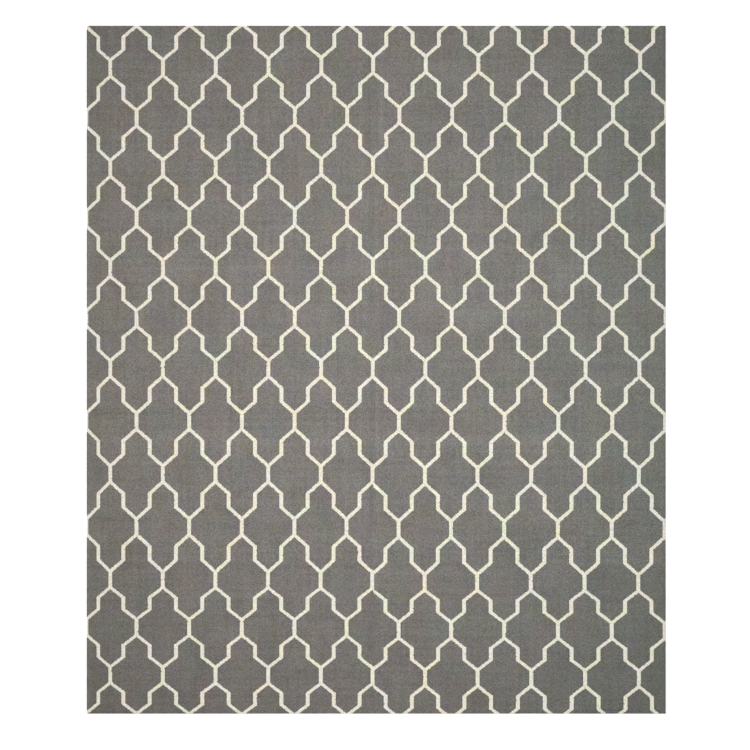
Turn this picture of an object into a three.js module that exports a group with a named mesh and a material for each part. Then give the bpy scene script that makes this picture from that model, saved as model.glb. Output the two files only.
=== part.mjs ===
// Flat-woven wool rug, laid flat.
// Millimetres, +Z up. The origin is the middle of the underside.
// X runs across the rug from selvedge to selvedge, Y along it from end to end.
import * as THREE from 'three';

// Driving dimensions
const RUG_WIDTH = 2440;       // selvedge to selvedge
const RUG_LENGTH = 2900;      // finished end to finished end
const RUG_THICKNESS = 4;      // a wool flat weave, warp and weft together
const CORNER_RADIUS = 4;      // the four corners are nearly square
const RIM_DROP = 1.8;         // how far the rounded rim reaches in from the edge, up and across
const CORNER_STEPS = 6;       // straight pieces in each corner's quarter turn
const RIM_STEPS = 5;          // straight pieces in each rounded half of the rim

// Finish
const GREY_WOOL = 0x7a7873;
const WOOL_ROUGHNESS = 0.95;

// The rug's outline as seen from above, drawn in by a margin on all sides.
function outlineFromAbove(margin) {
  const halfWidth = RUG_WIDTH / 2 - margin;
  const halfLength = RUG_LENGTH / 2 - margin;
  const radius = CORNER_RADIUS - margin;
  const quarter = Math.PI / 2;
  const corners = [
    { x: halfWidth - radius, y: -halfLength + radius, start: -quarter },
    { x: halfWidth - radius, y: halfLength - radius, start: 0 },
    { x: -halfWidth + radius, y: halfLength - radius, start: quarter },
    { x: -halfWidth + radius, y: -halfLength + radius, start: 2 * quarter },
  ];
  const outline = new THREE.Shape();
  for (const corner of corners) {
    outline.absarc(corner.x, corner.y, radius, corner.start, corner.start + quarter, false);
  }
  return outline;
}

// One closed sheet: flat on top and underneath, with a soft rounded rim all the way round.
function kilimSheet() {
  const sheet = new THREE.ExtrudeGeometry(outlineFromAbove(RIM_DROP), {
    depth: RUG_THICKNESS - 2 * RIM_DROP,
    bevelEnabled: true,
    bevelThickness: RIM_DROP,
    bevelSize: RIM_DROP,
    bevelSegments: RIM_STEPS,
    curveSegments: CORNER_STEPS,
  });
  return sheet.translate(0, 0, RIM_DROP);
}

const wool = new THREE.MeshStandardMaterial({ color: GREY_WOOL, roughness: WOOL_ROUGHNESS, metalness: 0 });
const rug = new THREE.Mesh(kilimSheet(), wool);
rug.name = 'kilim_rug';

const group = new THREE.Group();
group.add(rug);

export default group;
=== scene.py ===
import math
import random
from collections import namedtuple

import bpy
import numpy as np
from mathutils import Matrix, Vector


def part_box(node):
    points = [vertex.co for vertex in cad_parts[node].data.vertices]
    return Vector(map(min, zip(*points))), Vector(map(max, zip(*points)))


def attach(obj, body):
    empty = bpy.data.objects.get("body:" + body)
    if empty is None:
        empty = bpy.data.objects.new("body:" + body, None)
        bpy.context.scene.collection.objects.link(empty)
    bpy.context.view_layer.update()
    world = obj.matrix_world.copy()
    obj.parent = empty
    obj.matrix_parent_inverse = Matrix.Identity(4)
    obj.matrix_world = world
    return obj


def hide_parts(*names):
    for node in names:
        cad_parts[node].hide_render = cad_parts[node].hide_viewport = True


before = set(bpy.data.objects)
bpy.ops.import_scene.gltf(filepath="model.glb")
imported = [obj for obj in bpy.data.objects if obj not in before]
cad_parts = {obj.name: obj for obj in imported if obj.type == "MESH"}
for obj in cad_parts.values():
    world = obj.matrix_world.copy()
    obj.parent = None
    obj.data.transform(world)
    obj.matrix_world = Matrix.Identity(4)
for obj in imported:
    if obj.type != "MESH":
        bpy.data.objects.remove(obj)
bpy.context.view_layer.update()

# Flat-woven wool rug: a grey field with an ivory trellis, laid flat.
# Metres, in the model's frame: X across the rug, Y along it, Z up, underside at 0.
MM = 0.001
LOW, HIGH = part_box("kilim_rug")
WIDTH = HIGH.x - LOW.x
LENGTH = HIGH.y - LOW.y
THICKNESS = HIGH.z - LOW.z

# The photograph's frame, in pixels
PHOTO_SIDE_PX = 750
RUG_WIDTH_PX = 578.8
RUG_MIDDLE_PX = (376.12, 369.6)
METRES_PER_PX = WIDTH / RUG_WIDTH_PX

# The weave. A bead is the weft's bulge over one warp, and beads of neighbouring warps lie half a bead apart.
WARPS_PER_COLUMN = 34
BEADS_PER_ROW = 80
WARP_PITCH = 3.27 * MM
BEAD_PITCH = 2.64 * MM

# The trellis chart, counted in warps and beads from the middle of an upright bar. A diagonal climbs from
# the bar's end to a jog, which is a short upright halfway to the next column of bars.
BAR_HALF_BEADS = 12.5
DIAGONAL_RISE_BEADS = 17.5
DIAGONAL_WARPS = 17
UPRIGHT_HALF_WARPS = 2.41
DIAGONAL_HALF_BEADS = 3.28

# The hand's unevenness moves the lines' edges by up to about this many warps or beads, and the pace is
# how far it runs on in the noise from one warp, and from one bead, to the next
LINE_WANDER = 0.55
WANDER_PACE = (0.21, 0.24, 0.0)

# The trellis as it was woven: a few bars, read off the enlarged photo. The columns and rows between
# them are evenly spaced, and the first and last of each are guessed, just off the rug.
LEFT_BAR_MM = -1121
RIGHT_BAR_MM = 1110
ColumnPlace = namedtuple("ColumnPlace", "column place_mm")
COLUMN_PLACES = (
    ColumnPlace(-2, -1331),
    ColumnPlace(-1, -1221),
    ColumnPlace(0, LEFT_BAR_MM),
    ColumnPlace(8, -232),
    ColumnPlace(10, -14),
    ColumnPlace(14, 429),
    ColumnPlace(20, RIGHT_BAR_MM),
    ColumnPlace(21, 1220),
    ColumnPlace(22, 1330),
)

# Each row's height at columns 0 and 20, and how far the right one of them came out to the right. The
# heights were read a little too high, so all of them were moved 6 mm towards the foot.
RowPlace = namedtuple("RowPlace", "row left_mm right_mm right_shift_mm")
ROW_PLACES = (
    RowPlace(-1, -1482, -1511, -2),
    RowPlace(0, -1287, -1302, -2),
    RowPlace(2, -885, -899, -5),
    RowPlace(6, 5, 3, 0),
    RowPlace(12, 1270, 1299, 3),
    RowPlace(13, 1480, 1514, 3),
)
BAR_HALF_MM = 33

# The lengthwise fold lets the two halves creep apart towards the foot
FOLD_PLACE_MM = -12
FOLD_SLIP_MM = 8
SLIP_START_MM = 100
SLIP_FULL_MM = -400

# Storage creases: a line along one axis, pressed down between two soft shoulders. The painted shade is
# the share of light painted off along the line, and where it is below 0 it is a painted highlight. The
# fifth is only a painted highlight on the lit side of the fourth.
Crease = namedtuple("Crease", "along place_mm start_mm finish_mm half_width_mm depth_mm soil")
CREASES = (
    Crease("y", -6, 740, 1460, 26, 5.4, 0.022),
    Crease("y", -13, 0, 800, 12, 3.8, 0.024),
    Crease("y", -10, -720, 60, 15, 4.6, 0.058),
    Crease("y", -17, -980, -660, 27, 3.0, 0.000),
    Crease("y", 2, -980, -660, 22, 0.0, -0.085),
    Crease("y", -22, -1400, -1040, 12, 1.2, 0.080),
    Crease("x", -174, -1230, 120, 20, 0.8, 0.044),
    Crease("x", 8, 640, 1230, 12, 0.9, 0.012),
    Crease("x", -829, -1230, 60, 12, 1.4, 0.022),
)
CREASE_FADE_MM = 60
SHOULDER_SHARE = 0.6
SHOULDER_REACH = 4

# The cloth's slow waves, added up: how fast each turns across and along the rug, in radians to a metre,
# and where in its turn it starts
Wave = namedtuple("Wave", "share across along start")
WAVES = (
    Wave(0.5, 3.1, -2.3, 1.97),
    Wave(0.5, 3.1, 2.3, -0.37),
    Wave(0.6, 6.7, -2.9, 1.7),
    Wave(0.4, 2.2, 9.1, 0.0),
)
WAVE_HEIGHT = 1.0 * MM
CALM_EDGE = 150 * MM
CALM_EDGE_SHARE = 0.35

# The cloth's mesh. Each warp has one pixel of the map's width to itself, so that the weave leaves no
# false ribs there. The finer grid round a crease reaches so many of its half widths to either side, and
# keeps the least gap from other grid lines, so that no two of them coincide.
GRID_STEP = 17 * MM
CREASE_GRID_STEPS = 12
CREASE_GRID_REACH = 2
LEAST_GRID_GAP = 1 * MM
RIM_STEPS = 4
MAP_PIXELS = 1024

# The turns of yarn round the edges. The weft turns back once a bead at the selvedges, and the ends are
# bound as closely. A turn is a rounded drum that leans and is pressed to its neighbours. Each piece's map
# is cut into cells for the turns, as many across as up.
TURN_SPACING = BEAD_PITCH
TURN_RADIUS = 2.0 * MM
TURN_HALF_LENGTH = 1.7 * MM
TURN_SPREAD = 0.08
TURN_FULLNESS = 0.6
TURN_LEAN_DEG = 22
TURN_SEED = 5
TURN_SIDES = 8
TURN_RINGS = 5
TURN_MAP_CELLS = 48
TURN_MAP_SHARE = 0.8
NEAR_AXIS = 0.001

# How far the turns stand out past the model's sides and ends, and how far the cloth's rim stays behind them
SIDE_FULLNESS = 0.8 * MM
END_FULLNESS = 0.4 * MM
RIM_BEHIND_TURNS = 0.6 * MM

# Dyes, as linear colours
GREY_DYE = (0.2015, 0.1865, 0.1715)
IVORY_DYE = (0.764, 0.724, 0.594)

# The two yarns: how much painted shade each has towards the rug's edges and corners, how much darker it is
# towards the foot, how it yellowed and cooled, how unevenly it took the dye, how much its beads differ in
# shade, and how much painted shade its gaps have. Where the yellowing is below 0 the wool bleached towards
# the edges.
Yarn = namedtuple(
    "Yarn",
    "dye side_shade end_shade foot_shade corner_shade cooling yellowing"
    " blotches weft_stripes warp_stripes red_drift blue_drift melange gap_shade",
)
GREY_YARN = Yarn(
    GREY_DYE, side_shade=0.10, end_shade=0.155, foot_shade=0.055, corner_shade=0.055, cooling=0.107,
    yellowing=0.045, blotches=0.38, weft_stripes=0.28, warp_stripes=0.30, red_drift=0.184,
    blue_drift=0.261, melange=0.71, gap_shade=0.30,
)
IVORY_YARN = Yarn(
    IVORY_DYE, side_shade=0.03, end_shade=0.0, foot_shade=0.0, corner_shade=0.015, cooling=0.03,
    yellowing=-0.035, blotches=0.06, weft_stripes=0.06, warp_stripes=0.06, red_drift=0.137,
    blue_drift=0.30, melange=0.38, gap_shade=0.15,
)

# A light bead makes its neighbours look darker by this share of its own shade
NEIGHBOUR_SHARE = 0.11

# How steeply the painted shade rises towards the selvedges and the cooler tone towards the right, and how
# much the ends yellow for each bit that the selvedges do
SIDE_STEEPNESS = 2.4
COOLING_STEEPNESS = 3.2
END_YELLOWING = 0.5

# The dye's unevenness: patches to a metre across and along the rug, how ragged they are, where in the
# noise each kind starts, and what it does to red, green and blue
DyePatch = namedtuple("DyePatch", "label across along ragged start tint")
DYE_PATCHES = (
    DyePatch("Blotches", 6, 6, 0.72, 0, (1.0, 1.0, 1.0)),
    DyePatch("Weft stripes", 1.2, 60, 0.6, 20, (1.0, 1.0, 1.0)),
    DyePatch("Warp stripes", 60, 1.6, 0.6, 40, (1.0, 1.0, 1.0)),
    DyePatch("Red drift", 8, 7, 0.72, 60, (1.4, -0.71, 0.0)),
    DyePatch("Blue drift", 8, 7, 1.0, 80, (-0.17, -0.17, 1.77)),
)

# Uneven weft: bands where the grey yarn took the dye a little lighter or darker. The plainest of them lie
# about where the photo shows them, and stray ones lie anywhere.
WeftBand = namedtuple("WeftBand", "height_mm half_mm left right")
WEFT_BANDS = (
    WeftBand(1110, 18, 0.00, 0.07),
    WeftBand(430, 40, 0.06, 0.04),
    WeftBand(0, 14, 0.00, -0.06),
    # This band is painted shade along the crease at -174 mm
    WeftBand(-180, 10, -0.06, 0.00),
    WeftBand(-300, 30, 0.09, 0.03),
    WeftBand(-830, 10, -0.08, -0.02),
)
STRAY_BANDS = 13
STRAY_HALF_LEAST_MM = 10
STRAY_HALF_MOST_MM = 45
STRAY_SHADE = 0.045
STRAY_SEED = 3
BAND_WAVER = 1.2
BAND_WAVERS_PER_METRE = 2.5

# The wool's surface. Fibres run along the yarn, so their noise turns faster across it: the three numbers
# are turns to a metre along X, Y and Z.
WOOL_ROUGHNESS = 0.88
WOOL_GAP_ROUGHNESS = 0.93
WOOL_SHINE = 0.25
WOOL_SHEEN = 0.12
WOOL_SHEEN_ROUGHNESS = 0.6
BEAD_HEIGHT = 0.7 * MM
BEAD_ROUND_ACROSS = 0.8
BEAD_ROUND_ALONG = 0.6
FIBRE_HEIGHT = 0.12
WEFT_FIBRES = (700.0, 2600.0, 2600.0)
SELVEDGE_FIBRES = (700.0, 2600.0, 700.0)
END_FIBRES = (2600.0, 700.0, 700.0)

# A noise's middle value, and how far it mostly strays from it
NOISE_MIDDLE = 0.5
NOISE_REACH = 0.25

# How many finer layers each noise has
WANDER_DETAIL = 2.0
FIBRE_DETAIL = 2.0
DYE_DETAIL = 3.0
WAVER_DETAIL = 1.0

# Lights and floor
SOFTBOX_HEIGHT = 3.4
SOFTBOX_ACROSS = 1.2
SOFTBOX_ALONG = 3.2
SOFTBOX_POWER = 77
WINDOW_STRENGTH = 2.45
WINDOW_SOFTNESS_DEG = 15
WINDOW_ELEVATION_DEG = 30
WINDOW_AZIMUTH_DEG = 40
SKY_STRENGTH = 0.42
BACKDROP_WHITE = 0.87
FLOOR_SIDE = 40
FLOOR_DEPTH = 0.2 * MM
FLOOR_WHITE = 0.9
FLOOR_GLOW = 0.14
FLOOR_ROUGHNESS = 0.9
PLAIN_WHITE = (1, 1, 1, 1)

CAMERA_LENS_MM = 85
CAMERA_SENSOR_MM = 36

# Kinds of node socket
FLOAT = "NodeSocketFloat"
WHOLE = "NodeSocketInt"
VECTOR = "NodeSocketVector"
COLOUR = "NodeSocketColor"
GEOMETRY = "NodeSocketGeometry"
MATERIAL = "NodeSocketMaterial"


# Small helpers

def even_places(low, high, step):
    """Evenly spaced places from low to high, about one step apart."""
    count = max(1, round((high - low) / step))
    return [low + (high - low) * k / count for k in range(count + 1)]


def soft_step(value):
    """0 below 0 and 1 above 1, smooth between."""
    t = np.clip(value, 0, 1)
    return t * t * (3 - 2 * t)


class Nodes:
    """Adds nodes to a tree, and links and sets their sockets in the same breath."""

    def __init__(self, tree):
        self.tree = tree

    def add(self, kind, settings=None, **inputs):
        node = self.tree.nodes.new(kind)
        for name, value in (settings or {}).items():
            setattr(node, name, value)
        for name, value in inputs.items():
            self.put(node.inputs[name.replace("_", " ")], value)
        return node

    def put(self, socket, value):
        if isinstance(value, bpy.types.NodeSocket):
            self.tree.links.new(value, socket)
        else:
            socket.default_value = value

    def calculate(self, kind, operation, values):
        node = self.add(kind, {"operation": operation})
        for socket, value in zip(node.inputs, values):
            self.put(socket, value)
        return node.outputs[0]

    def math(self, operation, *values):
        return self.calculate("ShaderNodeMath", operation, values)

    def vector(self, operation, *values):
        return self.calculate("ShaderNodeVectorMath", operation, values)

    def join(self, x, y, z):
        """A vector of three values."""
        return self.add("ShaderNodeCombineXYZ", X=x, Y=y, Z=z).outputs[0]

    def alike(self, value):
        """A vector with the same value three times."""
        return self.join(value, value, value)

    def parts(self, vector):
        """The X, Y and Z of a vector."""
        return self.add("ShaderNodeSeparateXYZ", Vector=vector).outputs

    def stored(self, kind, name):
        """A named attribute of the geometry at hand."""
        return self.add("GeometryNodeInputNamedAttribute", {"data_type": kind}, Name=name).outputs[0]

    def noise(self, dimensions, detail, **inputs):
        """A noise texture's value, about NOISE_MIDDLE."""
        node = self.add(
            "ShaderNodeTexNoise", {"noise_dimensions": dimensions}, Scale=1.0, Detail=detail, **inputs
        )
        return node.outputs["Fac"]

    def blend(self, share, first, second):
        """The first value at share 0 and the second at share 1."""
        return self.add("ShaderNodeMix", {"data_type": "FLOAT"}, Factor=share, A=first, B=second).outputs[0]

    def blend_colours(self, share, first, second):
        """The first colour at share 0 and the second at share 1."""
        node = self.add("ShaderNodeMix", {"data_type": "RGBA"}, Factor=share)
        colours = [socket for socket in node.inputs if socket.type == "RGBA"]
        self.put(colours[0], first)
        self.put(colours[1], second)
        return next(socket for socket in node.outputs if socket.type == "RGBA")

    def group(self, tree, **inputs):
        """A shader group's outputs."""
        return self.add("ShaderNodeGroup", {"node_tree": tree}, **inputs).outputs


def new_group(name, kind, inputs, outputs):
    """An empty node group with named sockets; each socket is (name, kind) or (name, kind, default)."""
    tree = bpy.data.node_groups.new(name, kind)
    for direction, sockets in (("INPUT", inputs), ("OUTPUT", outputs)):
        for label, socket_kind, *default in sockets:
            socket = tree.interface.new_socket(label, in_out=direction, socket_type=socket_kind)
            if default:
                socket.default_value = default[0]
    given = tree.nodes.new("NodeGroupInput").outputs
    result = tree.nodes.new("NodeGroupOutput").inputs
    return tree, Nodes(tree), given, result


# The weave's coordinates

COLUMNS, COLUMNS_MM = np.array(COLUMN_PLACES).T
COLUMN_WARPS = COLUMNS * WARPS_PER_COLUMN
MIDDLE_WARP = (COLUMN_WARPS[0] + COLUMN_WARPS[-1]) / 2

READ_ROWS, READ_LEFTS_MM, READ_RIGHTS_MM, READ_SHIFTS_MM = np.array(ROW_PLACES).T
ROWS = np.arange(READ_ROWS[0], READ_ROWS[-1] + 1)
ROWS_LEFT_MM = np.interp(ROWS, READ_ROWS, READ_LEFTS_MM)
ROWS_RIGHT_MM = np.interp(ROWS, READ_ROWS, READ_RIGHTS_MM)

# Each row fixes three heights: the foot, the middle and the head of its bars
BAR_SIDES = np.array([-1, 0, 1])
KNOWN_BEADS = (ROWS[:, None] * BEADS_PER_ROW + BAR_SIDES * BAR_HALF_BEADS).ravel()


def weave_place(x, y):
    """The warp and the bead, as whole and part numbers, that lie at a point of the rug."""
    x_mm = x / MM
    y_mm = y / MM
    rightwards = (x_mm - LEFT_BAR_MM) / (RIGHT_BAR_MM - LEFT_BAR_MM)
    shift_mm = rightwards * np.interp(y_mm, READ_LEFTS_MM, READ_SHIFTS_MM)
    warp = np.interp(x_mm - shift_mm, COLUMNS_MM, COLUMN_WARPS)

    rows_mm = ROWS_LEFT_MM + (ROWS_RIGHT_MM - ROWS_LEFT_MM) * rightwards
    across = (x - LOW.x) / WIDTH
    from_own_side = across if x_mm < FOLD_PLACE_MM else across - 1
    slip = soft_step((SLIP_START_MM - rows_mm) / (SLIP_START_MM - SLIP_FULL_MM))
    rows_mm = rows_mm + FOLD_SLIP_MM * from_own_side * slip
    bead = np.interp(y_mm, (rows_mm[:, None] + BAR_SIDES * BAR_HALF_MM).ravel(), KNOWN_BEADS)
    return warp, bead


def store_weave(mesh, points):
    """Lets a mesh know its warp and bead at every point, and returns them."""
    weave = np.array([(*weave_place(x, y), 0.0) for x, y, _ in points])
    mesh.attributes.new("Weave", "FLOAT_VECTOR", "POINT").data.foreach_set("vector", weave.ravel())
    return weave


# Shader groups

def trellis_chart_group():
    """Which beads are ivory, and where a point lies within its own bead."""
    tree, n, given, result = new_group(
        "Trellis chart", "ShaderNodeTree",
        [("Weave", VECTOR), ("Line wander", FLOAT, LINE_WANDER)],
        [("Ivory", FLOAT), ("Bead", VECTOR), ("Across bead", FLOAT), ("Along bead", FLOAT)],
    )
    weave = n.parts(given["Weave"])
    warp = n.math("ROUND", weave["X"])
    odd = n.math("PINGPONG", warp, 1.0)
    shifted = n.math("MULTIPLY_ADD", odd, 0.5, weave["Y"])
    row = n.math("ROUND", shifted)
    bead = n.join(warp, row, 0.0)
    height = n.math("MULTIPLY_ADD", odd, -0.5, row)

    unevenness = n.noise("2D", detail=WANDER_DETAIL, Vector=n.vector("MULTIPLY", bead, WANDER_PACE))
    unevenness = n.math("DIVIDE", n.math("SUBTRACT", unevenness, NOISE_MIDDLE), NOISE_REACH)
    wander = n.math("MULTIPLY", unevenness, given["Line wander"])

    # One quarter of the repeat holds half a bar, a diagonal and half a jog: the rest is its mirror
    across = n.math("PINGPONG", warp, float(WARPS_PER_COLUMN))
    up = n.math("PINGPONG", height, float(BEADS_PER_ROW))
    upper = n.math("GREATER_THAN", up, BEADS_PER_ROW / 2)
    across = n.blend(upper, across, n.math("SUBTRACT", float(WARPS_PER_COLUMN), across))
    up = n.math("MINIMUM", up, n.math("SUBTRACT", float(BEADS_PER_ROW), up))
    slope = DIAGONAL_RISE_BEADS / DIAGONAL_WARPS
    above_diagonal = n.math("SUBTRACT", up, n.math("MULTIPLY_ADD", across, slope, BAR_HALF_BEADS))

    upright_half = n.math("ADD", wander, UPRIGHT_HALF_WARPS)
    diagonal_half = n.math("ADD", wander, DIAGONAL_HALF_BEADS)
    below = n.math("LESS_THAN", above_diagonal, 0.0)
    bar = n.math("MULTIPLY", n.math("LESS_THAN", across, upright_half), below)
    in_band = n.math("LESS_THAN", n.math("ABSOLUTE", above_diagonal), diagonal_half)
    before_jog = n.math("LESS_THAN", across, DIAGONAL_WARPS + UPRIGHT_HALF_WARPS)
    diagonal = n.math("MULTIPLY", in_band, before_jog)
    from_jog = n.math("ABSOLUTE", n.math("SUBTRACT", across, float(DIAGONAL_WARPS)))
    jog = n.math("MULTIPLY", n.math("LESS_THAN", from_jog, upright_half), n.math("SUBTRACT", 1.0, below))

    n.put(result["Ivory"], n.math("MAXIMUM", n.math("MAXIMUM", bar, diagonal), jog))
    n.put(result["Bead"], bead)
    n.put(result["Across bead"], n.math("SUBTRACT", weave["X"], warp))
    n.put(result["Along bead"], n.math("SUBTRACT", shifted, row))
    return tree


def bead_relief_group():
    """The height of the weft's bulges, from 0 in the gaps to 1 on top, with fine fibres on them."""
    tree, n, given, result = new_group(
        "Bead relief", "ShaderNodeTree",
        [
            ("Across bead", FLOAT), ("Along bead", FLOAT), ("Position", VECTOR),
            ("Fibre turns", VECTOR, WEFT_FIBRES), ("Fibre height", FLOAT, FIBRE_HEIGHT),
        ],
        [("Height", FLOAT), ("Gap", FLOAT)],
    )
    arch = n.math("COSINE", n.math("MULTIPLY", given["Across bead"], math.pi))
    arch = n.math("POWER", arch, BEAD_ROUND_ACROSS)
    round_yarn = n.math("COSINE", n.math("MULTIPLY", given["Along bead"], math.pi))
    round_yarn = n.math("POWER", round_yarn, BEAD_ROUND_ALONG)
    dome = n.math("MULTIPLY", arch, round_yarn)
    fibre_place = n.vector("MULTIPLY", given["Position"], given["Fibre turns"])
    fibres = n.noise("3D", detail=FIBRE_DETAIL, Vector=fibre_place)
    n.put(result["Height"], n.math("MULTIPLY_ADD", fibres, given["Fibre height"], dome))
    n.put(result["Gap"], n.math("SUBTRACT", 1.0, dome))
    return tree


def uneven_dye_group():
    """Where the wool took the dye lighter, darker, redder or bluer than round about."""
    tree, n, given, result = new_group(
        "Uneven dye", "ShaderNodeTree",
        [("Position", VECTOR)] + [(patch.label, FLOAT) for patch in DYE_PATCHES],
        [("Tint", VECTOR)],
    )
    tint = (1.0, 1.0, 1.0)
    for patch in DYE_PATCHES:
        turns = (patch.across, patch.along, 0.0)
        start = (patch.start, patch.start, 0.0)
        place = n.vector("MULTIPLY_ADD", given["Position"], turns, start)
        noise = n.noise("2D", detail=DYE_DETAIL, Vector=place, Roughness=patch.ragged)
        strength = n.math("MULTIPLY", n.math("SUBTRACT", noise, NOISE_MIDDLE), given[patch.label])
        tint = n.vector("MULTIPLY_ADD", n.alike(strength), patch.tint, tint)
    n.put(result["Tint"], tint)
    return tree


def wool_yarn_group():
    """A dyed yarn's colour: each bead has a shade of its own, and the gaps between beads are painted darker,
    as shade.
    """
    tree, n, given, result = new_group(
        "Wool yarn", "ShaderNodeTree",
        [("Dye", VECTOR), ("Bead", VECTOR), ("Gap", FLOAT), ("Melange", FLOAT), ("Gap shade", FLOAT)],
        [("Colour", COLOUR)],
    )

    def own_shade(bead):
        noise = n.add("ShaderNodeTexWhiteNoise", {"noise_dimensions": "2D"}, Vector=bead).outputs["Value"]
        return n.math("SUBTRACT", noise, NOISE_MIDDLE)

    beside = own_shade(n.vector("ADD", given["Bead"], (1.0, 0.0, 0.0)))
    above = own_shade(n.vector("ADD", given["Bead"], (0.0, 1.0, 0.0)))
    shade = n.math("MULTIPLY_ADD", n.math("ADD", beside, above), -NEIGHBOUR_SHARE, own_shade(given["Bead"]))
    shade = n.math("MULTIPLY_ADD", shade, given["Melange"], 1.0)
    # Painted shade in the gaps between beads
    shade = n.math("SUBTRACT", shade, n.math("MULTIPLY", given["Gap"], given["Gap shade"]))
    n.put(result["Colour"], n.vector("MULTIPLY", given["Dye"], n.alike(shade)))
    return tree


def weft_band_group():
    """One band of weft that is lighter or darker, by a different share at each selvedge."""
    tree, n, given, result = new_group(
        "Weft band", "ShaderNodeTree",
        [
            ("Position", VECTOR), ("Height", FLOAT), ("Half width", FLOAT), ("Left shade", FLOAT),
            ("Right shade", FLOAT), ("Before", FLOAT),
        ],
        [("Shade", FLOAT)],
    )
    place = n.parts(given["Position"])
    turns = n.math("MULTIPLY", n.math("ADD", place["X"], given["Height"]), BAND_WAVERS_PER_METRE)
    waver = n.math("SUBTRACT", n.noise("1D", detail=WAVER_DETAIL, W=turns), NOISE_MIDDLE)
    waver = n.math("MULTIPLY", waver, n.math("MULTIPLY", given["Half width"], BAND_WAVER))
    height = n.math("ADD", place["Y"], waver)
    off = n.math("DIVIDE", n.math("SUBTRACT", height, given["Height"]), given["Half width"])
    bell = n.math("EXPONENT", n.math("MULTIPLY", n.math("MULTIPLY", off, off), -1.0))
    across = n.math("MULTIPLY_ADD", place["X"], 1.0 / WIDTH, 0.5)
    strength = n.blend(across, given["Left shade"], given["Right shade"])
    n.put(result["Shade"], n.math("MULTIPLY_ADD", bell, strength, given["Before"]))
    return tree


def painted_shade_and_tint_group():
    """Painted shade, darker towards the selvedges, the ends and the corners where the light falls off; the
    wool is also darker towards the foot, yellower towards the edges and cooler towards the right.
    """
    tree, n, given, result = new_group(
        "Painted shade and tint", "ShaderNodeTree",
        [
            ("Position", VECTOR), ("Side shade", FLOAT), ("End shade", FLOAT), ("Foot shade", FLOAT),
            ("Corner shade", FLOAT), ("Cooling", FLOAT), ("Yellowing", FLOAT),
        ],
        [("Tint", VECTOR)],
    )
    place = n.parts(given["Position"])
    x = n.math("MULTIPLY", place["X"], 2.0 / WIDTH)
    y = n.math("MULTIPLY", place["Y"], 2.0 / LENGTH)
    from_side = n.math("POWER", n.math("ABSOLUTE", x), SIDE_STEEPNESS)
    from_end = n.math("MULTIPLY", y, y)
    # Painted shade where the light falls off towards the selvedges, ends and corners, and darker towards the
    # foot
    sides = n.math("SUBTRACT", 1.0, n.math("MULTIPLY", from_side, given["Side shade"]))
    ends = n.math("SUBTRACT", 1.0, n.math("MULTIPLY", from_end, given["End shade"]))
    ends = n.math("MULTIPLY_ADD", y, given["Foot shade"], ends)
    corners = n.math("MULTIPLY", n.math("MULTIPLY", from_side, from_end), given["Corner shade"])
    shade = n.math("SUBTRACT", n.math("MULTIPLY", sides, ends), corners)
    from_left = n.math("MAXIMUM", n.math("MULTIPLY_ADD", x, 0.5, 0.5), 0.0)
    rightwards = n.math("POWER", from_left, COOLING_STEEPNESS)
    red = n.math("SUBTRACT", 1.0, n.math("MULTIPLY", rightwards, given["Cooling"]))
    outwards = n.math("MAXIMUM", from_side, n.math("MULTIPLY", from_end, END_YELLOWING))
    blue = n.math("SUBTRACT", 1.0, n.math("MULTIPLY", outwards, given["Yellowing"]))
    n.put(result["Tint"], n.vector("MULTIPLY", n.join(red, 1.0, blue), n.alike(shade)))
    return tree


CHART = trellis_chart_group()
RELIEF = bead_relief_group()
DYE = uneven_dye_group()
YARN = wool_yarn_group()
BAND = weft_band_group()
PAINTED_SHADE_AND_TINT = painted_shade_and_tint_group()


# The wool

def dyed(n, yarn, position):
    """A yarn's dye over the whole rug, uneven and tinted, with painted shade towards the edges and corners.
    """
    painted_shade_and_tint = n.group(
        PAINTED_SHADE_AND_TINT, Position=position, Side_shade=yarn.side_shade, End_shade=yarn.end_shade,
        Foot_shade=yarn.foot_shade, Corner_shade=yarn.corner_shade, Cooling=yarn.cooling,
        Yellowing=yarn.yellowing,
    )
    unevenness = n.group(
        DYE, Position=position, Blotches=yarn.blotches, Weft_stripes=yarn.weft_stripes,
        Warp_stripes=yarn.warp_stripes, Red_drift=yarn.red_drift, Blue_drift=yarn.blue_drift,
    )
    return n.vector("MULTIPLY", yarn.dye, n.vector("MULTIPLY", painted_shade_and_tint["Tint"], unevenness["Tint"]))


def stray_bands():
    """Weft bands at random heights, each a little lighter or darker at either selvedge."""
    draw = random.Random(STRAY_SEED)
    reach_mm = LENGTH / 2 / MM
    bands = []
    for _ in range(STRAY_BANDS):
        height_mm = draw.uniform(-reach_mm, reach_mm)
        half_mm = draw.uniform(STRAY_HALF_LEAST_MM, STRAY_HALF_MOST_MM)
        left = draw.uniform(-STRAY_SHADE, STRAY_SHADE)
        right = draw.uniform(-STRAY_SHADE, STRAY_SHADE)
        bands.append(WeftBand(height_mm, half_mm, left, right))
    return bands


def banded(n, soil, position):
    """The weft bands' shade, with the creases' painted shade and highlights."""
    shade = n.math("SUBTRACT", 1.0, soil)
    for band in (*WEFT_BANDS, *stray_bands()):
        shade = n.group(
            BAND, Position=position, Height=band.height_mm * MM, Half_width=band.half_mm * MM,
            Left_shade=band.left, Right_shade=band.right, Before=shade,
        )["Shade"]
    return n.alike(shade)


def yarn_colour(n, yarn, dye, bead, gap, gap_share):
    """One yarn's colour. The gap share is 1 where the gaps get painted shade and 0 where the mesh has them.
    """
    return n.group(
        YARN, Dye=dye, Bead=bead, Gap=gap, Melange=yarn.melange, Gap_shade=yarn.gap_shade * gap_share,
    )["Colour"]


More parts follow.
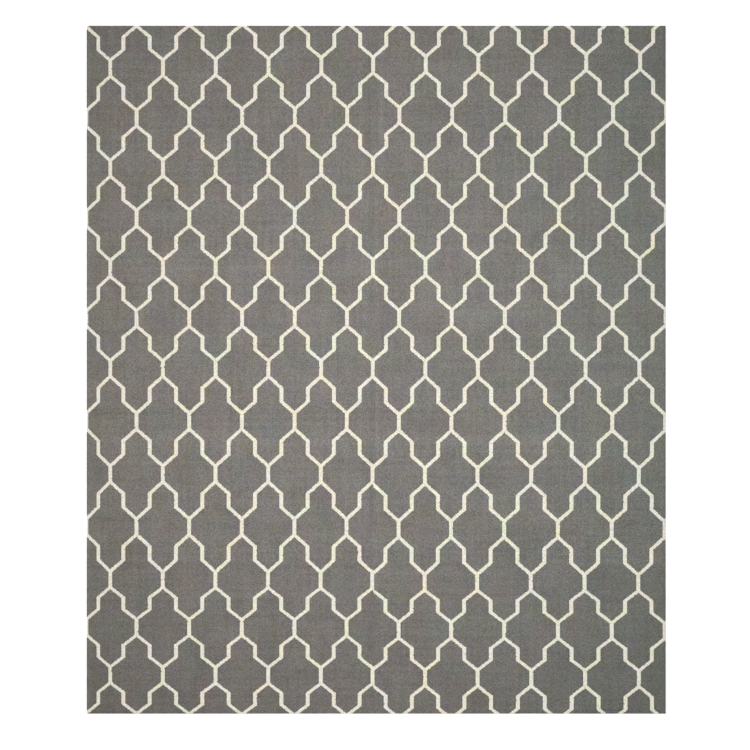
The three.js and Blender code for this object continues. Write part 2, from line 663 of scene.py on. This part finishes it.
def woven_wool(name, fibre_turns, gap_share):
    """Two dyed yarns woven by the chart, with the beads' relief and the rug's uneven dye."""
    material = bpy.data.materials.new(name)
    material.use_nodes = True
    n = Nodes(material.node_tree)
    shader = material.node_tree.nodes["Principled BSDF"]
    weave = n.add("ShaderNodeAttribute", {"attribute_name": "Weave"}).outputs["Vector"]
    # The creases' painted shade, a painted highlight where it is below 0
    soil = n.add("ShaderNodeAttribute", {"attribute_name": "Soil"}).outputs["Fac"]
    position = n.add("ShaderNodeTexCoord").outputs["Object"]
    chart = n.group(CHART, Weave=weave)
    relief = n.group(
        RELIEF, Across_bead=chart["Across bead"], Along_bead=chart["Along bead"], Position=position,
        Fibre_turns=fibre_turns,
    )

    # The grey carries the weft bands and the creases' painted shade
    grey_dye = n.vector("MULTIPLY", dyed(n, GREY_YARN, position), banded(n, soil, position))
    ivory_dye = dyed(n, IVORY_YARN, position)
    grey = yarn_colour(n, GREY_YARN, grey_dye, chart["Bead"], relief["Gap"], gap_share)
    ivory = yarn_colour(n, IVORY_YARN, ivory_dye, chart["Bead"], relief["Gap"], gap_share)
    n.put(shader.inputs["Base Color"], n.blend_colours(chart["Ivory"], grey, ivory))

    n.put(shader.inputs["Roughness"], n.blend(relief["Gap"], WOOL_ROUGHNESS, WOOL_GAP_ROUGHNESS))
    bump = n.add("ShaderNodeBump", Height=relief["Height"], Distance=BEAD_HEIGHT, Strength=1.0)
    n.put(shader.inputs["Normal"], bump.outputs["Normal"])
    shader.inputs["Specular IOR Level"].default_value = WOOL_SHINE
    shader.inputs["Sheen Weight"].default_value = WOOL_SHEEN
    shader.inputs["Sheen Roughness"].default_value = WOOL_SHEEN_ROUGHNESS
    return material


# The cloth

def crease_press(crease, x, y):
    """How firmly a crease presses at each point, from 0 to 1, and how far off its line the point is."""
    across, along = (x, y) if crease.along == "y" else (y, x)
    off = (across - crease.place_mm * MM) / (crease.half_width_mm * MM)
    fade = CREASE_FADE_MM * MM
    begun = soft_step((along - crease.start_mm * MM) / fade)
    unended = soft_step((crease.finish_mm * MM - along) / fade)
    return begun * unended, off


def painted_shade_at(x, y):
    """The creases' painted shade: the share of light painted off along them, a painted highlight where below
    0.
    """
    soil = np.zeros_like(x)
    for crease in CREASES:
        press, off = crease_press(crease, x, y)
        soil += crease.soil * press * np.exp(-off * off)
    return soil


def cloth_lift(x, y):
    """How high the underside lies: slow waves, calmer at the edges, and creases pressed towards the floor."""
    swing = sum(wave.share * np.sin(wave.across * x + wave.along * y + wave.start) for wave in WAVES)
    full_swing = sum(wave.share for wave in WAVES)
    to_edge = np.minimum(WIDTH / 2 - np.abs(x), LENGTH / 2 - np.abs(y))
    inner = soft_step(to_edge / CALM_EDGE)
    calm = CALM_EDGE_SHARE + (1 - CALM_EDGE_SHARE) * inner
    lift = WAVE_HEIGHT * calm * (1 + swing / full_swing) / 2
    for crease in CREASES:
        press, off = crease_press(crease, x, y)
        wide = off / SHOULDER_REACH
        bend = SHOULDER_SHARE * np.exp(-wide * wide) - np.exp(-off * off)
        lift += crease.depth_mm * MM * press * inner * bend
    return np.maximum(lift, 0)


def places_with_creases(low, high, along):
    """Grid places across the cloth, closer together where a crease runs."""
    places = set(even_places(low, high, GRID_STEP))
    for crease in CREASES:
        if crease.along == along:
            middle = crease.place_mm * MM
            reach = CREASE_GRID_REACH * crease.half_width_mm * MM
            cleared = reach + LEAST_GRID_GAP
            places = {place for place in places if abs(place - middle) > cleared}
            places.update(even_places(middle - reach, middle + reach, 2 * reach / CREASE_GRID_STEPS))
    return np.array(sorted(places))


def cloth_border(columns, rows):
    """The grid's border, anticlockwise: each point's column and row, and the way out of the cloth there."""
    right = columns - 1
    head = rows - 1
    slant = math.sqrt(0.5)
    border = [(0, 0, -slant, -slant)]
    border += [(i, 0, 0, -1) for i in range(1, right)]
    border += [(right, 0, slant, -slant)]
    border += [(right, j, 1, 0) for j in range(1, head)]
    border += [(right, head, slant, slant)]
    border += [(i, head, 0, 1) for i in reversed(range(1, right))]
    border += [(0, head, -slant, slant)]
    border += [(0, j, -1, 0) for j in reversed(range(1, head))]
    return border


def sheet_shape(xs, ys, lift):
    """The points and faces of one closed sheet: its upper side, its underside and a round rim."""
    columns = len(xs)
    rows = len(ys)
    x, y = np.meshgrid(xs, ys)
    layers = [np.dstack([x, y, lift + THICKNESS]).reshape(-1, 3), np.dstack([x, y, lift]).reshape(-1, 3)]
    underside = columns * rows
    faces = []
    for j in range(rows - 1):
        for i in range(columns - 1):
            a = j * columns + i
            b, c, d = a + 1, a + 1 + columns, a + columns
            faces.append((a, b, c, d))
            faces.append((underside + a, underside + d, underside + c, underside + b))

    border = cloth_border(columns, rows)
    rings = [[j * columns + i for i, j, _, _ in border]]
    radius = THICKNESS / 2
    for step in range(1, RIM_STEPS):
        angle = math.pi * step / RIM_STEPS
        reach = radius * math.sin(angle)
        height = radius + radius * math.cos(angle)
        first = sum(len(layer) for layer in layers)
        rings.append(range(first, first + len(border)))
        layers.append(np.array([
            (xs[i] + out_x * reach, ys[j] + out_y * reach, lift[j, i] + height)
            for i, j, out_x, out_y in border
        ]))
    rings.append([underside + number for number in rings[0]])
    for upper, lower in zip(rings, rings[1:]):
        for k in range(len(border)):
            following = (k + 1) % len(border)
            faces.append((upper[k], lower[k], lower[following], upper[following]))
    return np.concatenate(layers), faces


def make_cloth(xs, ys, lift):
    """The woven cloth, which knows its warp and bead and its creases' painted shade at each point."""
    points, faces = sheet_shape(xs, ys, lift)
    mesh = bpy.data.meshes.new("kilim_cloth")
    mesh.from_pydata(points.tolist(), [], faces)
    mesh.validate()
    mesh.shade_smooth()
    weave = store_weave(mesh, points)
    # The creases' painted shade at each point
    soil = painted_shade_at(points[:, 0], points[:, 1])
    mesh.attributes.new("Soil", "FLOAT", "POINT").data.foreach_set("value", soil)

    # A pixel's middle is half a pixel from its edge, so it lies on the middle of its warp
    from_middle_warp = weave[:, 0] - MIDDLE_WARP + 0.5
    map_pixels = np.column_stack([from_middle_warp, points[:, 1] / WARP_PITCH])
    corners = np.zeros(len(mesh.loops), dtype=np.int32)
    mesh.loops.foreach_get("vertex_index", corners)
    map_places = map_pixels[corners] / MAP_PIXELS + 0.5
    mesh.uv_layers.new(name="OFBake").data.foreach_set("uv", map_places.astype(np.float32).ravel())

    cloth = bpy.data.objects.new("kilim_cloth", mesh)
    bpy.context.collection.objects.link(cloth)
    return cloth


# The turns of yarn at the edges

def turn_drum(n, fullness):
    """One turn about its own axis Z: a ball, filled out to a drum with rounded ends."""
    ball = n.add("GeometryNodeMeshUVSphere", Segments=TURN_SIDES, Rings=TURN_RINGS, Radius=1.0)
    mapped = n.add(
        "GeometryNodeStoreNamedAttribute", {"data_type": "FLOAT_VECTOR", "domain": "CORNER"},
        Geometry=ball.outputs["Mesh"], Name="Turn map", Value=ball.outputs["UV Map"],
    ).outputs[0]
    place = n.add("GeometryNodeInputPosition").outputs[0]
    height = n.parts(place)["Z"]
    from_axis = n.math("SQRT", n.math("SUBTRACT", 1.0, n.math("MULTIPLY", height, height)))
    less_full = n.math("MULTIPLY", fullness, -1.0)
    fill = n.math("POWER", n.math("MAXIMUM", from_axis, NEAR_AXIS), less_full)
    filled = n.vector("MULTIPLY", place, n.join(fill, fill, 1.0))
    return n.add("GeometryNodeSetPosition", Geometry=mapped, Position=filled).outputs[0]


def uneven_size(n, given):
    """Each turn's own size: its radius and half length, a little more or less."""
    spread = n.add("FunctionNodeRandomValue", {"data_type": "FLOAT"}, Seed=given["Seed"])
    limits = {socket.name: socket for socket in spread.inputs if socket.type == "VALUE"}
    n.put(limits["Min"], n.math("SUBTRACT", 1.0, given["Size spread"]))
    n.put(limits["Max"], n.math("ADD", 1.0, given["Size spread"]))
    factor = next(socket for socket in spread.outputs if socket.type == "VALUE")
    size = n.join(given["Radius"], given["Radius"], given["Half length"])
    return n.vector("MULTIPLY", size, n.alike(factor))


def own_map_cell(n, cells):
    """Each turn's place in the map, in a cell of its own."""
    number = n.stored("INT", "Turn")
    on_turn = n.stored("FLOAT_VECTOR", "Turn map")
    cell = n.join(n.math("MODULO", number, cells), n.math("FLOOR", n.math("DIVIDE", number, cells)), 0.0)
    margin = (1 - TURN_MAP_SHARE) / 2
    inside = n.vector("MULTIPLY_ADD", on_turn, (TURN_MAP_SHARE, TURN_MAP_SHARE, 0.0), (margin, margin, 0.0))
    return n.vector("DIVIDE", n.vector("ADD", cell, inside), n.alike(cells))


def edge_turns_tree():
    """Turns of yarn along every edge line: evenly spaced, leaning and slightly uneven."""
    tree, n, given, result = new_group(
        "Edge turns", "GeometryNodeTree",
        [
            ("Geometry", GEOMETRY), ("Spacing", FLOAT, TURN_SPACING), ("Radius", FLOAT, TURN_RADIUS),
            ("Half length", FLOAT, TURN_HALF_LENGTH), ("Size spread", FLOAT, TURN_SPREAD),
            ("Fullness", FLOAT, TURN_FULLNESS), ("Lean", FLOAT, math.radians(TURN_LEAN_DEG)),
            ("Seed", WHOLE, TURN_SEED), ("Map cells", WHOLE, TURN_MAP_CELLS), ("Wool", MATERIAL),
        ],
        [("Geometry", GEOMETRY)],
    )
    curve = n.add("GeometryNodeMeshToCurve", Mesh=given["Geometry"]).outputs["Curve"]
    along = n.add("GeometryNodeCurveToPoints", {"mode": "LENGTH"}, Curve=curve, Length=given["Spacing"])
    numbered = n.add(
        "GeometryNodeStoreNamedAttribute", {"data_type": "INT", "domain": "POINT"},
        Geometry=along.outputs["Points"], Name="Turn", Value=n.add("GeometryNodeInputIndex").outputs[0],
    ).outputs[0]

    tangent = along.outputs["Tangent"]
    axis = n.add("FunctionNodeAlignRotationToVector", {"axis": "Z"}, Vector=tangent).outputs[0]
    lean = n.add("FunctionNodeAxisAngleToRotation", Axis=(0.0, 0.0, 1.0), Angle=given["Lean"]).outputs[0]
    leaning = n.add(
        "FunctionNodeRotateRotation", {"rotation_space": "GLOBAL"}, Rotation=axis, Rotate_By=lean
    ).outputs[0]
    turns = n.add(
        "GeometryNodeInstanceOnPoints", Points=numbered, Instance=turn_drum(n, given["Fullness"]),
        Rotation=leaning, Scale=uneven_size(n, given),
    ).outputs[0]
    solid = n.add("GeometryNodeRealizeInstances", Geometry=turns).outputs[0]
    baked = n.add(
        "GeometryNodeStoreNamedAttribute", {"data_type": "FLOAT2", "domain": "CORNER"},
        Geometry=solid, Name="OFBake", Value=own_map_cell(n, given["Map cells"]),
    ).outputs[0]
    smooth = n.add("GeometryNodeSetShadeSmooth", Geometry=baked).outputs[0]
    finished = n.add("GeometryNodeSetMaterial", Geometry=smooth, Material=given["Wool"]).outputs[0]
    n.put(result["Geometry"], finished)
    return tree


def edge_piece(name, tree, lines, wool):
    """A piece of edge turns along the given lines of points."""
    points = [point for line in lines for point in line]
    edges = []
    first = 0
    for line in lines:
        edges += [(first + k, first + k + 1) for k in range(len(line) - 1)]
        first += len(line)
    guide = bpy.data.meshes.new(name)
    guide.from_pydata(points, edges, [])
    store_weave(guide, points)
    piece = bpy.data.objects.new(name, guide)
    bpy.context.collection.objects.link(piece)

    modifier = piece.modifiers.new("Edge turns", "NODES")
    modifier.node_group = tree
    wool_socket = next(item for item in tree.interface.items_tree if item.name == "Wool")
    modifier[wool_socket.identifier] = wool
    graph = bpy.context.evaluated_depsgraph_get()
    mesh = bpy.data.meshes.new_from_object(
        piece.evaluated_get(graph), preserve_all_data_layers=True, depsgraph=graph
    )
    piece.modifiers.remove(modifier)
    piece.data = mesh
    return piece


def edge_lines(xs, ys, lift):
    """The middle lines of the turns at both selvedges and both ends, as high as the thickest turn needs."""
    middle = TURN_RADIUS * (1 + TURN_SPREAD)
    side = TURN_RADIUS - SIDE_FULLNESS
    end = TURN_RADIUS - END_FULLNESS
    left = [(LOW.x + side, y, height + middle) for y, height in zip(ys, lift[:, 0])]
    right = [(HIGH.x - side, y, height + middle) for y, height in zip(ys, lift[:, -1])]
    foot = [(x, LOW.y + end, height + middle) for x, height in zip(xs, lift[0])]
    head = [(x, HIGH.y - end, height + middle) for x, height in zip(xs, lift[-1])]
    return [left, right], [foot, head]


# Camera, lights and floor

def place_camera():
    """Straight above, so that the rug lies in the frame as in the photograph."""
    camera = bpy.data.objects.new("Camera", bpy.data.cameras.new("Camera"))
    camera.data.lens = CAMERA_LENS_MM
    camera.data.sensor_width = CAMERA_SENSOR_MM
    middle = PHOTO_SIDE_PX / 2
    view_width = PHOTO_SIDE_PX * METRES_PER_PX
    distance = view_width * CAMERA_LENS_MM / CAMERA_SENSOR_MM
    camera.location = (
        (middle - RUG_MIDDLE_PX[0]) * METRES_PER_PX,
        (RUG_MIDDLE_PX[1] - middle) * METRES_PER_PX,
        THICKNESS + distance,
    )
    bpy.context.collection.objects.link(camera)
    bpy.context.scene.camera = camera


def place_lights():
    """A long softbox overhead, a soft window light from the upper left and an even sky."""
    lamp = bpy.data.lights.new("Overhead softbox", "AREA")
    lamp.shape = "RECTANGLE"
    lamp.size = SOFTBOX_ACROSS
    lamp.size_y = SOFTBOX_ALONG
    lamp.energy = SOFTBOX_POWER
    softbox = bpy.data.objects.new("Overhead softbox", lamp)
    softbox.location = (0.0, 0.0, SOFTBOX_HEIGHT)
    softbox.visible_camera = False
    bpy.context.collection.objects.link(softbox)

    sun = bpy.data.lights.new("Window light", "SUN")
    sun.energy = WINDOW_STRENGTH
    sun.angle = math.radians(WINDOW_SOFTNESS_DEG)
    window = bpy.data.objects.new("Window light", sun)
    window.rotation_euler = (
        math.radians(90 - WINDOW_ELEVATION_DEG), 0.0, -math.radians(90 + WINDOW_AZIMUTH_DEG),
    )
    bpy.context.collection.objects.link(window)

    # Past the floor's far end the camera sees a backdrop as bright as the floor
    world = bpy.data.worlds.new("Studio")
    world.use_nodes = True
    n = Nodes(world.node_tree)
    background = world.node_tree.nodes["Background"]
    seen = n.add("ShaderNodeLightPath").outputs["Is Camera Ray"]
    background.inputs["Color"].default_value = PLAIN_WHITE
    n.put(background.inputs["Strength"], n.blend(seen, SKY_STRENGTH, BACKDROP_WHITE))
    bpy.context.scene.world = world
    bpy.context.scene.view_settings.view_transform = "Standard"


def place_floor():
    """A plain white floor just under the rug."""
    half = FLOOR_SIDE / 2
    corners = [(-half, -half), (half, -half), (half, half), (-half, half)]
    mesh = bpy.data.meshes.new("Floor")
    mesh.from_pydata([(x, y, -FLOOR_DEPTH) for x, y in corners], [], [(0, 1, 2, 3)])
    white = bpy.data.materials.new("Studio floor")
    white.use_nodes = True
    shader = white.node_tree.nodes["Principled BSDF"]
    shader.inputs["Base Color"].default_value = (FLOOR_WHITE, FLOOR_WHITE, FLOOR_WHITE, 1)
    shader.inputs["Roughness"].default_value = FLOOR_ROUGHNESS
    shader.inputs["Specular IOR Level"].default_value = 0.0
    shader.inputs["Emission Color"].default_value = PLAIN_WHITE
    shader.inputs["Emission Strength"].default_value = FLOOR_GLOW
    mesh.materials.append(white)
    floor = bpy.data.objects.new("Floor", mesh)
    bpy.context.collection.objects.link(floor)


place_camera()
place_lights()
place_floor()

# The cloth's grid ends where its round rim just stays behind the turns
side_inset = THICKNESS / 2 + RIM_BEHIND_TURNS - SIDE_FULLNESS
end_inset = THICKNESS / 2 + RIM_BEHIND_TURNS - END_FULLNESS
grid_xs = places_with_creases(LOW.x + side_inset, HIGH.x - side_inset, "y")
grid_ys = places_with_creases(LOW.y + end_inset, HIGH.y - end_inset, "x")
lifts = cloth_lift(*np.meshgrid(grid_xs, grid_ys))

cloth = make_cloth(grid_xs, grid_ys, lifts)
cloth.data.materials.append(woven_wool("Woven wool", WEFT_FIBRES, gap_share=1))

turns_tree = edge_turns_tree()
side_lines, end_lines = edge_lines(grid_xs, grid_ys, lifts)
selvedge_wool = woven_wool("Selvedge wool", SELVEDGE_FIBRES, gap_share=0)
selvedges = edge_piece("selvedge_turns", turns_tree, side_lines, selvedge_wool)
end_wool = woven_wool("End wool", END_FIBRES, gap_share=0)
ends = edge_piece("end_turns", turns_tree, end_lines, end_wool)

for piece in (cloth, selvedges, ends):
    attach(piece, "root")
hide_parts("kilim_rug")
